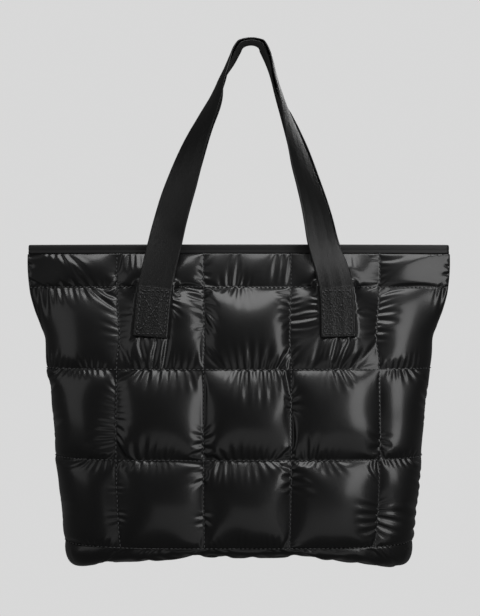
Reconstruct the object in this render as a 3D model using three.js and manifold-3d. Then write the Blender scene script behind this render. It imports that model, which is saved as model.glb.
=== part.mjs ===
// A quilted puffer tote bag, hanging by its two webbing handles.
// Millimetres, +Z up, +X to the right of someone facing the bag, +Y away from them.
// The origin is the point under the crown of the handles where a hook carries the bag.
import * as THREE from "three";
import { mergeVertices } from "three/addons/utils/BufferGeometryUtils.js";
import Module from "manifold-3d";

const wasm = await Module();
wasm.setup();

// Body: widths and drops of the shell, measured on its outer seams.
const rimWidth = 475;
const bagDrop = 338;
const cornerDroop = 28;
const baseDepth = 122;
const baseCornerInsetX = 27;
const baseCornerInsetY = 11;

// Padding: the wall at a quilting seam, and how far the filling swells it out and in.
const seamThickness = 3;
const puffOut = 13;
const puffIn = 4;
const basePuffOut = 5;
const flankSwell = 0.2;
const flankShare = 0.17;

// Mouth and its folded binding tape.
const mouthGap = 18;
const bindingHeight = 10;
const bindingThickness = 5.6;

// Webbing handles and the stretch of each end that is sewn to a panel.
const strapWidth = 38;
const strapThickness = 1.8;
const sewnThickness = 3.6;
const sewnLength = 55;
const sewnDrop = 48;
const sewnStandoff = 36;
const sewnSlope = 9;
const sewnSink = 1;
const handleSpacing = 205;
const handleShift = 6;
const handleRise = 234;
const crownShift = 14;
const crownTilt = 0.09;

// Gap that neighbouring pieces keep.
const clearance = 0.3;

// Quilting: vertical seams as shares of the panel's cloth width from its left side seam,
// and horizontal seams as shares of the bag's drop.
const columnSeams = [0, 0.214, 0.418, 0.622, 0.831, 1];
const rowSeams = [0.1416, 0.4086, 0.697, 0.976];
const columnSteps = 6;
const topRowSteps = 3;
const rowSteps = 6;
const baseSteps = 12;
// The base's corners lie this share of the cloth width in from the side seams.
const baseCornerShare = 0.075;

// Level sections of the shell from the rim down. drop: share of the bag's drop. width: share
// of the rim's half width. depth: share of the way from the mouth's half depth to the base's.
// flat and round: exponents of the section's outline. wing: how far the two panels still lie
// flat on each other at the side seam.
const sections = [
  { drop: 0.0, width: 1.0, depth: 0.0, flat: 2.2, round: 1.0, wing: 1.0 },
  { drop: 0.08, width: 1.001, depth: 0.12, flat: 2.3, round: 1.0, wing: 1.0 },
  { drop: 0.16, width: 0.99, depth: 0.28, flat: 2.4, round: 1.05, wing: 0.9 },
  { drop: 0.22, width: 0.967, depth: 0.42, flat: 2.6, round: 1.2, wing: 0.7 },
  { drop: 0.275, width: 0.938, depth: 0.54, flat: 2.9, round: 1.45, wing: 0.4 },
  { drop: 0.31, width: 0.919, depth: 0.6, flat: 3.1, round: 1.65, wing: 0.15 },
  { drop: 0.38, width: 0.914, depth: 0.72, flat: 3.3, round: 1.9, wing: 0.0 },
  { drop: 0.47, width: 0.893, depth: 0.83, flat: 3.5, round: 2.1, wing: 0.0 },
  { drop: 0.6, width: 0.877, depth: 0.92, flat: 3.7, round: 2.2, wing: 0.0 },
  { drop: 0.75, width: 0.858, depth: 0.98, flat: 3.8, round: 2.3, wing: 0.0 },
  { drop: 0.9, width: 0.837, depth: 1.0, flat: 3.9, round: 2.3, wing: 0.0 },
  { drop: 1.0, width: 0.816, depth: 1.0, flat: 3.9, round: 2.3, wing: 0.0 },
];

// Each handle branch from its sewn end's foot to the crown. out: share of the sideways reach
// from the crown to the sewn end. up: share of the rise from the rim to the crown. twist:
// degrees that the front webbing has turned from lying flat on the front panel to lying across
// the hook, and backTwist the same for the back one, which ends flat on the back panel at 180.
// fore and aft: share of the sewn end's distance from the bag's middle plane that each has.
// tuck: share of the webbing's width that the back one lies inside the front one's loop.
const leftBranch = [
  { out: 0.857, up: 0.02, twist: 7, fore: 0.78, backTwist: 172, aft: 0.78, tuck: -0.095 },
  { out: 0.812, up: 0.115, twist: 14, fore: 0.695, backTwist: 165, aft: 0.695, tuck: -0.084 },
  { out: 0.76, up: 0.21, twist: 19, fore: 0.625, backTwist: 159, aft: 0.625, tuck: -0.068 },
  { out: 0.696, up: 0.307, twist: 26, fore: 0.57, backTwist: 150, aft: 0.57, tuck: -0.053 },
  { out: 0.631, up: 0.404, twist: 36, fore: 0.53, backTwist: 140, aft: 0.53, tuck: -0.045 },
  { out: 0.556, up: 0.501, twist: 46, fore: 0.52, backTwist: 127, aft: 0.53, tuck: -0.02 },
  { out: 0.468, up: 0.599, twist: 57, fore: 0.52, backTwist: 113, aft: 0.55, tuck: 0.0 },
  { out: 0.38, up: 0.697, twist: 68, fore: 0.51, backTwist: 100, aft: 0.52, tuck: 0.05 },
  { out: 0.304, up: 0.796, twist: 80, fore: 0.4, backTwist: 88, aft: 0.2, tuck: 0.1 },
  { out: 0.205, up: 0.893, twist: 95, fore: 0.14, backTwist: 95, aft: 0.04, tuck: 0.1 },
  { out: 0.132, up: 0.961, twist: 96, fore: 0.03, backTwist: 96, aft: 0.0, tuck: 0.073 },
  { out: 0.078, up: 0.986, twist: 93, fore: 0.01, backTwist: 93, aft: 0.0, tuck: 0.068 },
];
const rightBranch = [
  { out: 0.828, up: 0.02, twist: 26, fore: 0.78, backTwist: 157, aft: 0.78, tuck: -0.13 },
  { out: 0.78, up: 0.115, twist: 33, fore: 0.695, backTwist: 149, aft: 0.695, tuck: -0.125 },
  { out: 0.724, up: 0.21, twist: 40, fore: 0.625, backTwist: 141, aft: 0.625, tuck: -0.12 },
  { out: 0.656, up: 0.307, twist: 47, fore: 0.57, backTwist: 134, aft: 0.57, tuck: -0.115 },
  { out: 0.585, up: 0.404, twist: 53, fore: 0.53, backTwist: 128, aft: 0.54, tuck: -0.11 },
  { out: 0.52, up: 0.501, twist: 62, fore: 0.52, backTwist: 118, aft: 0.55, tuck: -0.1 },
  { out: 0.448, up: 0.599, twist: 72, fore: 0.53, backTwist: 109, aft: 0.57, tuck: -0.07 },
  { out: 0.375, up: 0.697, twist: 82, fore: 0.53, backTwist: 98, aft: 0.57, tuck: -0.01 },
  { out: 0.293, up: 0.796, twist: 89, fore: 0.4, backTwist: 92, aft: 0.24, tuck: 0.11 },
  { out: 0.222, up: 0.893, twist: 96, fore: 0.14, backTwist: 96, aft: 0.04, tuck: 0.1 },
  { out: 0.15, up: 0.961, twist: 97, fore: 0.03, backTwist: 97, aft: 0.0, tuck: 0.073 },
  { out: 0.09, up: 0.986, twist: 93, fore: 0.01, backTwist: 93, aft: 0.0, tuck: 0.068 },
];
const crownTuck = 0.067;
const crownCup = 0.05;
const backSewnTuck = -0.145;
const sewnInset = { left: 0.045, right: 0.02 };
const strapStepsPerRow = 3;

// Derived sizes.
const halfGap = clearance / 2;
const rimHalfWidth = rimWidth / 2;
const rimLip = bindingThickness / 2 + seamThickness / 2;
const mouthHalfDepth = mouthGap / 2 + bindingThickness / 2 + seamThickness / 2;
const baseHalfDepth = baseDepth / 2;
const panelTop = bindingHeight + clearance;
const panelFoot = rowSeams.at(-1) * bagDrop;
const crownX = crownShift;

const materials = {
  nylon: new THREE.MeshStandardMaterial({ color: 0x0b0b0c, roughness: 0.34, metalness: 0 }),
  tape: new THREE.MeshStandardMaterial({ color: 0x0d0d0e, roughness: 0.42, metalness: 0 }),
  webbing: new THREE.MeshStandardMaterial({ color: 0x171717, roughness: 0.8, metalness: 0 }),
};

// Value of one column of a table at a place along it, on a smooth curve through the rows.
function along(table, at, place, column) {
  let row = table.findIndex((entry) => entry[at] > place) - 1;
  if (row < 0) row = place <= table[0][at] ? 0 : table.length - 2;
  const value = (index) => table[Math.min(Math.max(index, 0), table.length - 1)][column];
  const start = table[row][at];
  const t = THREE.MathUtils.clamp((place - start) / (table[row + 1][at] - start), 0, 1);
  const [a, b, c, d] = [value(row - 1), value(row), value(row + 1), value(row + 2)];
  const slopeIn = (c - a) / 2;
  const slopeOut = (d - b) / 2;
  const t2 = t * t;
  const t3 = t2 * t;
  return (2 * t3 - 3 * t2 + 1) * b + (t3 - 2 * t2 + t) * slopeIn
    + (3 * t2 - 2 * t3) * c + (t3 - t2) * slopeOut;
}

// The outline of one panel at a level, as points evenly spread by cloth length.
const outlineCache = new Map();
function panelOutline(drop) {
  if (!outlineCache.has(drop)) {
    const share = drop / bagDrop;
    const at = (column) => along(sections, "drop", share, column);
    const halfWidth = at("width") * rimHalfWidth;
    const halfDepth = mouthHalfDepth + at("depth") * (baseHalfDepth - mouthHalfDepth);
    const lip = halfGap + at("wing") * rimLip;
    const samples = 120;
    const points = [];
    for (let i = 0; i <= samples; i += 1) {
      const side = Math.sin(Math.PI * (i / samples - 0.5));
      const swell = Math.max(0, 1 - Math.abs(side) ** at("flat")) ** (1 / at("round"));
      points.push(new THREE.Vector2(side * halfWidth, lip + (halfDepth - lip) * swell));
    }
    const lengths = [0];
    for (let i = 1; i < points.length; i += 1) {
      lengths.push(lengths[i - 1] + points[i].distanceTo(points[i - 1]));
    }
    outlineCache.set(drop, { points, lengths });
  }
  return outlineCache.get(drop);
}

// Point of the panel's outline at a share of its cloth width: x, and depth from the middle.
function outlinePoint(drop, share) {
  const { points, lengths } = panelOutline(drop);
  const target = THREE.MathUtils.clamp(share, 0, 1) * lengths.at(-1);
  let i = 1;
  while (i < lengths.length - 1 && lengths[i] < target) i += 1;
  const t = (target - lengths[i - 1]) / (lengths[i] - lengths[i - 1]);
  return points[i - 1].clone().lerp(points[i], t);
}

// Swell of a quilted cell: 0 on its seams and 1 in its middle.
function swellBetween(lines, place) {
  let i = 1;
  while (i < lines.length - 1 && lines[i] < place) i += 1;
  const t = THREE.MathUtils.clamp((place - lines[i - 1]) / (lines[i] - lines[i - 1]), 0, 1);
  return Math.sqrt(4 * t * (1 - t));
}

// Lines of a grid that has a line on each seam and equal steps between seams.
function gridLines(seams, steps) {
  const lines = [seams[0]];
  for (let i = 1; i < seams.length; i += 1) {
    const count = Array.isArray(steps) ? steps[i - 1] : steps;
    for (let k = 1; k <= count; k += 1) {
      lines.push(seams[i - 1] + ((seams[i] - seams[i - 1]) * k) / count);
    }
  }
  return lines;
}

// A padded slab: a box whose front and back faces are moved onto a curved sheet's two sides.
// place(column, row) gives the sheet's point, and sides(column, row, point, normal) its outer
// and inner points.
function paddedSlab(columns, rows, place, sides) {
  const sheet = new THREE.PlaneGeometry(1, 1, columns, rows);
  const spots = sheet.getAttribute("position");
  for (let i = 0; i < spots.count; i += 1) {
    const point = place(i % (columns + 1), Math.floor(i / (columns + 1)));
    spots.setXYZ(i, point.x, point.y, point.z);
  }
  sheet.computeVertexNormals();
  const normals = sheet.getAttribute("normal");
  const slab = new THREE.BoxGeometry(1, 1, 1, columns, rows, 1);
  const corners = slab.getAttribute("position");
  for (let i = 0; i < corners.count; i += 1) {
    const column = Math.round((corners.getX(i) + 0.5) * columns);
    const row = Math.round((0.5 - corners.getY(i)) * rows);
    const index = row * (columns + 1) + column;
    const point = new THREE.Vector3().fromBufferAttribute(spots, index);
    const normal = new THREE.Vector3().fromBufferAttribute(normals, index);
    const { outer, inner } = sides(column, row, point, normal);
    const moved = corners.getZ(i) > 0 ? outer : inner;
    corners.setXYZ(i, moved.x, moved.y, moved.z);
  }
  slab.deleteAttribute("normal");
  slab.deleteAttribute("uv");
  return mergeVertices(slab, 1e-4);
}

// The sewn end of a handle: its middle, and the depth of the panel's face under it.
function sewnEnd(side, facing) {
  const spread = facing > 0 ? -backSewnTuck * strapWidth : 0;
  const x = handleShift + side * (handleSpacing / 2 + spread);
  const inset = (side < 0 ? sewnInset.left : sewnInset.right) * (crownX - x);
  const foot = sewnDrop + sewnLength;
  return {
    top: sewnDrop,
    foot,
    xAt: (drop) => x + inset * ((foot - drop) / sewnLength),
    depthAt: (drop) => sewnStandoff + (sewnSlope * (drop - sewnDrop)) / sewnLength,
  };
}

// How strongly a sewn end presses the padding down at a place: 1 under it, 0 well clear.
function pressAt(end, x, drop) {
  const fade = 22;
  const beside = Math.abs(x - end.xAt(drop)) - strapWidth / 2;
  const beyond = Math.max(end.top - drop, drop - end.foot);
  const away = Math.hypot(Math.max(beside, 0), Math.max(beyond, 0));
  return 1 - THREE.MathUtils.smoothstep(away, 2, fade);
}

// One quilted panel, from side seam to side seam. facing is -1 for the front, 1 for the back.
function quiltedPanel(facing) {
  const columns = gridLines(columnSeams, columnSteps);
  const rowDrops = [panelTop, ...rowSeams.map((share) => share * bagDrop)];
  const rows = gridLines(rowDrops, [topRowSteps, rowSteps, rowSteps, rowSteps]);
  const shareOf = (column) => columns[facing < 0 ? column : columns.length - 1 - column];
  const ends = [sewnEnd(-1, facing), sewnEnd(1, facing)];
  const place = (column, row) => {
    const spot = outlinePoint(rows[row], shareOf(column));
    return new THREE.Vector3(spot.x, facing * spot.y, -rows[row]);
  };
  const sides = (column, row, point, normal) => {
    const drop = rows[row];
    const share = shareOf(column);
    const swell = swellBetween(columnSeams, share) * swellBetween(rowDrops, drop);
    const topRow = drop < rowDrops[1] ? 0.6 : 1;
    const fromSeam = Math.min(share, 1 - share);
    const flank = THREE.MathUtils.smoothstep(fromSeam, 0, flankShare);
    const held = topRow * THREE.MathUtils.lerp(flankSwell, 1, flank);
    const outer = point.clone().addScaledVector(normal, puffOut * swell * held);
    for (const end of ends) {
      const pressed = facing * end.depthAt(drop);
      outer.y = THREE.MathUtils.lerp(outer.y, pressed, pressAt(end, point.x, drop));
    }
    const wall = seamThickness + puffIn * swell;
    const inner = point.clone().addScaledVector(normal, -wall);
    inner.y = facing * Math.max(facing * inner.y, halfGap);
    const top = -panelTop;
    const foot = -panelFoot + halfGap;
    outer.z = THREE.MathUtils.clamp(outer.z, foot, top);
    inner.z = THREE.MathUtils.clamp(inner.z, foot, top);
    if (row === 0) outer.z = inner.z = top;
    if (row === rows.length - 1) outer.z = inner.z = foot;
    return { outer, inner };
  };
  return paddedSlab(columns.length - 1, rows.length - 1, place, sides);
}

// The quilted base: a shallow tray whose edge meets both panels' feet.
function quiltedBase() {
  const cornerShare = baseCornerShare;
  const inner = columnSeams.slice(1, -1);
  const shares = gridLines([cornerShare, ...inner, 1 - cornerShare], columnSteps);
  const span = 1 - 2 * cornerShare;
  const acrossAt = (column) => ((shares[column] - cornerShare) / span) * 2 - 1;
  const alongAt = (row) => 1 - (2 * row) / baseSteps;
  const wallShare = 0.72;
  const squareness = 0.75;
  const halfWidth = outlinePoint(panelFoot, 1).x;
  const keepX = (halfWidth - baseCornerInsetX) / halfWidth;
  const keepY = (baseHalfDepth - baseCornerInsetY) / baseHalfDepth;
  // Edge point of the tray in the direction of a place on the unit square.
  const edge = (a, b) => {
    const reach = Math.max(Math.abs(a), Math.abs(b));
    if (Math.abs(b) >= Math.abs(a)) {
      const share = cornerShare + ((a / reach + 1) / 2) * span;
      const spot = outlinePoint(panelFoot, share);
      return new THREE.Vector2(spot.x, -Math.sign(b) * spot.y);
    }
    const turn = cornerShare * Math.abs(b / reach);
    const spot = outlinePoint(panelFoot, a < 0 ? turn : 1 - turn);
    return new THREE.Vector2(spot.x, -Math.sign(b) * (b === 0 ? 0 : spot.y));
  };
  const place = (column, row) => {
    const a = acrossAt(column);
    const b = alongAt(row);
    const reach = Math.max(Math.abs(a), Math.abs(b));
    if (reach < 1e-9) return new THREE.Vector3(0, 0, -bagDrop);
    const rim = edge(a, b);
    const climb = THREE.MathUtils.clamp((reach - wallShare) / (1 - wallShare), 0, 1);
    const inward = Math.min(reach / wallShare, 1);
    const turn = (climb * Math.PI) / 2;
    const flare = Math.sin(turn) ** squareness;
    const x = rim.x * (inward * keepX + (1 - keepX) * flare);
    const y = rim.y * (inward * keepY + (1 - keepY) * flare);
    const floor = -(bagDrop + cornerDroop * Math.abs(x / halfWidth) ** 3);
    const top = -panelFoot - halfGap;
    const rise = 1 - Math.max(Math.cos(turn), 0) ** squareness;
    return new THREE.Vector3(x, y, floor + (top - floor) * rise);
  };
  const sides = (column, row, point, normal) => {
    const a = acrossAt(column);
    const b = alongAt(row);
    const reach = Math.max(Math.abs(a), Math.abs(b));
    const across = swellBetween(columnSeams, shares[column]);
    const swell = Math.min(across, 1) * Math.sqrt(Math.max(0, 1 - reach ** 4));
    const outer = point.clone().addScaledVector(normal, basePuffOut * swell);
    const inside = point.clone().addScaledVector(normal, -(seamThickness + puffIn * swell));
    const top = -panelFoot - halfGap;
    outer.z = Math.min(outer.z, top);
    inside.z = Math.min(inside.z, top);
    if (reach > 1 - 1e-9) outer.z = inside.z = top;
    return { outer, inner: inside };
  };
  return paddedSlab(shares.length - 1, baseSteps, place, sides);
}

// The folded tape round the mouth: one closed ring standing on both panels' top edges.
function bindingRing() {
  const half = bindingThickness / 2;
  const turn = half + halfGap;
  const straightSteps = 30;
  const turnSteps = 6;
  const endX = rimHalfWidth - half - turn;
  const path = [];
  const runPoint = (share, facing) => {
    const x = THREE.MathUtils.lerp(-endX, endX, share);
    const swell = 1 - Math.abs(x / endX) ** sections[0].flat;
    const middle = mouthGap / 2 + half;
    return new THREE.Vector2(x, facing * (turn + (middle - turn) * swell));
  };
  for (let i = 0; i <= straightSteps; i += 1) path.push(runPoint(i / straightSteps, -1));
  for (let i = 1; i < turnSteps; i += 1) {
    const angle = -Math.PI / 2 + (Math.PI * i) / turnSteps;
    path.push(new THREE.Vector2(endX + turn * Math.cos(angle), turn * Math.sin(angle)));
  }
  for (let i = straightSteps; i >= 0; i -= 1) path.push(runPoint(i / straightSteps, 1));
  for (let i = 1; i < turnSteps; i += 1) {
    const angle = Math.PI / 2 + (Math.PI * i) / turnSteps;
    path.push(new THREE.Vector2(-endX + turn * Math.cos(angle), turn * Math.sin(angle)));
  }
  // Section of the tape, anticlockwise from its outer foot: outward share, and height share.
  const section = [
    [1, -1],
    [1, -0.16],
    [0.6, 0],
    [-0.6, 0],
    [-1, -0.16],
    [-1, -1],
  ];
  const ring = new THREE.TorusGeometry(1, 0.3, section.length, path.length);
  const corners = ring.getAttribute("position");
  const count = path.length;
  for (let i = 0; i < corners.count; i += 1) {
    const station = i % (count + 1) % count;
    const [outward, height] = section[Math.floor(i / (count + 1)) % section.length];
    const here = path[station];
    const ahead = path[(station + 1) % count];
    const behind = path[(station + count - 1) % count];
    const heading = ahead.clone().sub(behind).normalize();
    const x = here.x + heading.y * half * outward;
    const y = here.y - heading.x * half * outward;
    corners.setXYZ(i, x, y, height * bindingHeight);
  }
  ring.deleteAttribute("normal");
  ring.deleteAttribute("uv");
  return mergeVertices(ring, 1e-4);
}

// Stations along one handle, from the left sewn foot over the crown to the right one: the
// webbing's middle, its twist, its cup, its thickness and how far it lies inside the loop.
function handleStations(facing) {
  const back = facing > 0;
  const branch = (side, table) => {
    const end = sewnEnd(side, facing);
    const front = sewnEnd(side, -1);
    const reach = Math.abs(crownX - front.xAt(front.foot));
    const sewn = [end.foot, end.top].map((drop) => ({
      x: end.xAt(drop),
      y: facing * (end.depthAt(drop) - sewnSink + sewnThickness / 2),
      z: -drop,
      twist: back ? 180 : 0,
      cup: 0,
      thickness: sewnThickness,
      tuck: 0,
    }));
    const standoff = end.depthAt(end.top) - sewnSink + strapThickness / 2;
    const free = table.map((row) => ({
      x: crownX + side * row.out * reach,
      y: facing * standoff * (back ? row.aft : row.fore),
      z: row.up * handleRise,
      twist: back ? row.backTwist : row.twist,
      cup: crownCup * strapWidth * Math.sin(THREE.MathUtils.degToRad(row.twist)) ** 2,
      thickness: strapThickness,
      tuck: back ? row.tuck * strapWidth : 0,
    }));
    return [...sewn, ...free];
  };
  const crown = {
    x: crownX,
    y: 0,
    z: handleRise - strapThickness / 2,
    twist: 90,
    cup: crownCup * strapWidth,
    thickness: strapThickness,
    tuck: back ? crownTuck * strapWidth : 0,
  };
  const right = branch(1, rightBranch).map((station) => ({
    ...station,
    twist: 180 - station.twist,
  }));
  const all = [...branch(-1, leftBranch), crown, ...right.reverse()];
  return all.map((station, at) => ({ ...station, at }));
}

// A webbing handle as a strip, swept along its stations and grown all round by a margin.
function handleStrip(facing, margin) {
  const stations = handleStations(facing);
  const last = stations.length - 1;
  const steps = last * strapStepsPerRow;
  const strip = new THREE.BoxGeometry(1, 1, 1, 2, steps, 1);
  const corners = strip.getAttribute("position");
  const value = (place, column) => along(stations, "at", place, column);
  const middle = (place) => new THREE.Vector3(
    value(place, "x"), value(place, "y"), value(place, "z"),
  );
  for (let i = 0; i < corners.count; i += 1) {
    const step = Math.round((corners.getY(i) + 0.5) * steps);
    const place = step / strapStepsPerRow;
    const near = 0.05;
    const heading = middle(Math.min(place + near, last))
      .sub(middle(Math.max(place - near, 0))).normalize();
    const twist = THREE.MathUtils.degToRad(value(place, "twist"));
    const across = new THREE.Vector3(
      Math.cos(twist), -Math.sin(twist), -crownTilt * Math.sin(twist),
    );
    across.addScaledVector(heading, -across.dot(heading)).normalize();
    const outward = across.clone().cross(heading).normalize();
    const inward = new THREE.Vector3(heading.z, 0, -heading.x).normalize();
    const share = corners.getX(i) * 2;
    const cup = -value(place, "cup") * share * share;
    const half = value(place, "thickness") / 2 + margin;
    const at = middle(place)
      .addScaledVector(inward, value(place, "tuck"))
      .addScaledVector(across, share * (strapWidth / 2 + margin))
      .addScaledVector(outward, cup + Math.sign(corners.getZ(i)) * half);
    if (step === 0) at.addScaledVector(heading, -margin);
    if (step === steps) at.addScaledVector(heading, margin);
    corners.setXYZ(i, at.x, at.y, at.z);
  }
  strip.deleteAttribute("normal");
  strip.deleteAttribute("uv");
  return mergeVertices(strip, 1e-4);
}

// Conversion between a closed geometry and a solid that can be cut.
function toSolid(geometry) {
  return new wasm.Manifold(new wasm.Mesh({
    numProp: 3,
    vertProperties: new Float32Array(geometry.getAttribute("position").array),
    triVerts: new Uint32Array(geometry.index.array),
  }));
}

function toGeometry(solid) {
  const mesh = solid.getMesh();
  const geometry = new THREE.BufferGeometry();
  geometry.setAttribute("position", new THREE.BufferAttribute(mesh.vertProperties, 3));
  geometry.setIndex(new THREE.BufferAttribute(mesh.triVerts, 1));
  geometry.computeVertexNormals();
  return geometry;
}

// A panel with shallow pockets where the handle's two sewn ends lie.
function pocketedPanel(facing) {
  const pocket = toSolid(handleStrip(facing, clearance));
  return toGeometry(toSolid(quiltedPanel(facing)).subtract(pocket));
}

function namedMesh(name, geometry, material) {
  const mesh = new THREE.Mesh(geometry, material);
  mesh.name = name;
  return mesh;
}

// The bag is laid out from the middle of its rim, then moved so that the hook carries the
// origin: under the crown of the inner, nested handle.
const bag = new THREE.Group();
bag.add(namedMesh("front_panel", pocketedPanel(-1), materials.nylon));
bag.add(namedMesh("back_panel", pocketedPanel(1), materials.nylon));
bag.add(namedMesh("base_panel", quiltedBase(), materials.nylon));
bag.add(namedMesh("top_binding", bindingRing(), materials.tape));
bag.add(namedMesh("front_handle", handleStrip(-1, 0), materials.webbing));
bag.add(namedMesh("back_handle", handleStrip(1, 0), materials.webbing));
bag.position.set(-crownX, 0, -(handleRise - strapThickness - crownTuck * strapWidth));

const tote = new THREE.Group();
tote.add(bag);

export default tote;
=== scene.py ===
"""Looks of a quilted puffer tote bag that hangs by its two webbing handles.

Metres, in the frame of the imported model: +X to the right of someone facing the front
panel, +Y from the front to the back, +Z up, and the origin under the handles' crown.
"""

import enum
import logging
import math
from collections.abc import Callable, Sequence
from dataclasses import dataclass, field

import bmesh
import bpy
import numpy as np
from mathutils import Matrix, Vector, noise


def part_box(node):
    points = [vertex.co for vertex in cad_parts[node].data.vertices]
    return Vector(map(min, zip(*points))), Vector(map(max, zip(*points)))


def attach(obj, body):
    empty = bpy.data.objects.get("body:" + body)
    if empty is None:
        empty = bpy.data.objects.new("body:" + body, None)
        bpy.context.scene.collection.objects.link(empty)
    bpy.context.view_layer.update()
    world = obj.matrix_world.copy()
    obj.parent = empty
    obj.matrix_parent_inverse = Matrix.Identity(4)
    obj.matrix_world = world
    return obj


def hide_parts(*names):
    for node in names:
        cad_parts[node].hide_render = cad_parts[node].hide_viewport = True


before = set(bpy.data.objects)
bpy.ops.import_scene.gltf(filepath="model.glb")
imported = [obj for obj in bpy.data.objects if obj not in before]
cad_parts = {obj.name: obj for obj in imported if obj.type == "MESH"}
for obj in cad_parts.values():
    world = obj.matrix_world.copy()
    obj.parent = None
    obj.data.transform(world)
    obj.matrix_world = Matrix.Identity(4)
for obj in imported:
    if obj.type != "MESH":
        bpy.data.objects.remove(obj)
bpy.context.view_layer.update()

log = logging.getLogger("tote")

MM = 0.001
CLEARANCE = 0.3 * MM
MERGE_DISTANCE = 1e-7
TINY = 1e-9
GRAIN_SIZE = 9 * MM
GRAIN_HEIGHT_MM = 0.6
Row = dict[str, float]
Table = Sequence[Row]


class Facing(enum.Enum):
    """The side of the bag that a piece is on, as the sign of its Y."""

    FRONT = -1
    BACK = 1


def rows(names: str, *lines: tuple[float, ...]) -> list[Row]:
    """Makes a table with named columns.

    Args:
        names: the columns' names, with spaces between them.
        lines: the rows' values.

    Returns:
        One dictionary for each row.
    """
    columns = names.split()
    return [dict(zip(columns, line)) for line in lines]


def along(table: Table, at: str, place: float, column: str, even: bool = True) -> float:
    """Reads a column of a table on a smooth curve through its rows.

    Args:
        table: the rows, in rising order of the column at.
        at: the column that the place is measured in.
        place: where the value is wanted.
        column: the column that is read.
        even: whether the rows count as evenly spaced where the curve's slope is taken.

    Returns:
        The column's value at the place.
    """
    row = next((i for i, entry in enumerate(table) if entry[at] > place), -1) - 1
    if row < 0:
        row = 0 if place <= table[0][at] else len(table) - 2
    near = [table[min(max(row + k, 0), len(table) - 1)] for k in (-1, 0, 1, 2)]
    values, places = [entry[column] for entry in near], [entry[at] for entry in near]
    span = places[2] - places[1]
    t = min(max((place - places[1]) / span, 0.0), 1.0)
    slope_in = (values[2] - values[0]) * (0.5 if even else span / (places[2] - places[0]))
    slope_out = (values[3] - values[1]) * (0.5 if even else span / (places[3] - places[1]))
    t2, t3 = t * t, t * t * t
    return (
        (2 * t3 - 3 * t2 + 1) * values[1] + (t3 - 2 * t2 + t) * slope_in
        + (3 * t2 - 2 * t3) * values[2] + (t3 - t2) * slope_out
    )


def smoothstep(low: float, high: float, value: np.ndarray) -> np.ndarray:
    """Rises smoothly from 0 at low to 1 at high."""
    t = np.clip((value - low) / (high - low), 0, 1)
    return t * t * (3 - 2 * t)


def grid_lines(seams: Sequence[float], steps: Sequence[int]) -> np.ndarray:
    """Spreads grid lines so that one lies on each seam.

    Args:
        seams: the seams' places.
        steps: how many equal steps lie between each two seams.

    Returns:
        The places of all the lines.
    """
    spans = zip(seams[:-1], seams[1:], steps)
    parts = [np.linspace(a, b, n, endpoint=False) for a, b, n in spans]
    return np.concatenate([*parts, [seams[-1]]])


def swell_between(seams: Sequence[float], places: np.ndarray) -> np.ndarray:
    """Swell of quilted cells: 0 on the seams and 1 midway between them.

    Args:
        seams: the seams' places, in rising order.
        places: where the swell is wanted.

    Returns:
        The swell at each place.
    """
    seams = np.asarray(seams)
    cell = np.clip(np.searchsorted(seams, places, "right") - 1, 0, len(seams) - 2)
    t = np.clip((places - seams[cell]) / (seams[cell + 1] - seams[cell]), 0, 1)
    return np.sqrt(4 * t * (1 - t))


def fractal(points: np.ndarray, scale: float, seed: float, octaves: int = 2) -> np.ndarray:
    """Smooth noise, about -1 to 1, at each point.

    Args:
        points: an array of points, three numbers each.
        scale: the size of the noise's features, in metres.
        seed: shifts the noise to another place.
        octaves: how many finer layers are added.

    Returns:
        One value for each point.
    """
    flat = points.reshape(-1, 3) / scale + seed
    values = [noise.fractal(Vector(p), 1.0, 2.0, octaves) for p in flat]
    return np.array(values).reshape(points.shape[:-1])


def normals_of(points: np.ndarray) -> np.ndarray:
    """Unit normals of a grid of points, by the right-hand rule of column and row.

    Args:
        points: rows of points.

    Returns:
        One normal for each point.
    """
    across = np.gradient(points, axis=1)
    up = np.gradient(points, axis=0)
    normal = np.cross(across, up)
    return normal / np.maximum(np.linalg.norm(normal, axis=-1, keepdims=True), 1e-12)


def roughened(points: np.ndarray, normal: np.ndarray, lift: np.ndarray, swell: np.ndarray,
              seed: float) -> np.ndarray:
    """Lifts a sheet off its seams and roughens it, so that puckers have a place to start.

    Args:
        points: the sheet through the seams, as rows of points.
        normal: its outward normals.
        lift: how far each point is lifted.
        swell: how far each point is from a seam, from 0 to 1.
        seed: the place in the noise.

    Returns:
        The lifted points.
    """
    grain = fractal(points, GRAIN_SIZE, seed) * swell * GRAIN_HEIGHT_MM * MM
    return points + normal * lift[..., None] + normal * grain[..., None]


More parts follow.
